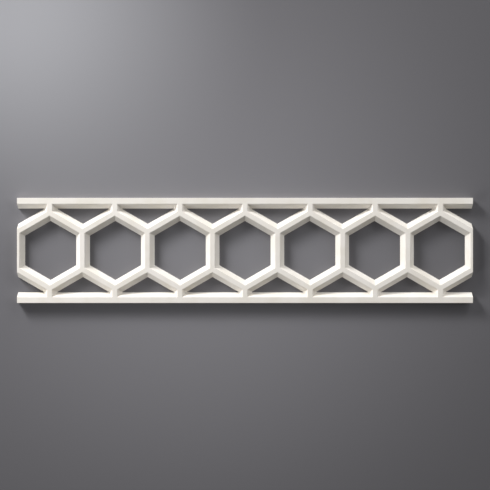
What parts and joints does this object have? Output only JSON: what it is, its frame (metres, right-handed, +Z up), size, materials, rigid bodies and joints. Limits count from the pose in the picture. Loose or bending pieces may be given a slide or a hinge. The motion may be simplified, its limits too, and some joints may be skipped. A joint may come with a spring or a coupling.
{
  "type": "pierced honeycomb wall moulding",
  "caption": "Flat pierced frieze moulding: a row of hexagonal cells with sloped bar sides between two straight rails, cut square at both ends and fixed flat to a wall.",
  "frame": {"origin": "on the back face of the lower rail, at mid-length of the moulding and mid-width of the rail", "axes": "+X along the length, to the right seen from the front; +Y out of the back, into the wall; +Z up, from the lower rail to the upper"},
  "size_m": [0.959, 0.017, 0.2211],
  "materials": {
    "white_primer": "matte off-white factory primer on moulded high-density polyurethane"
  },
  "bodies": {
    "root": {"honeycomb_moulding": "white_primer"}
  },
  "joints": []
}
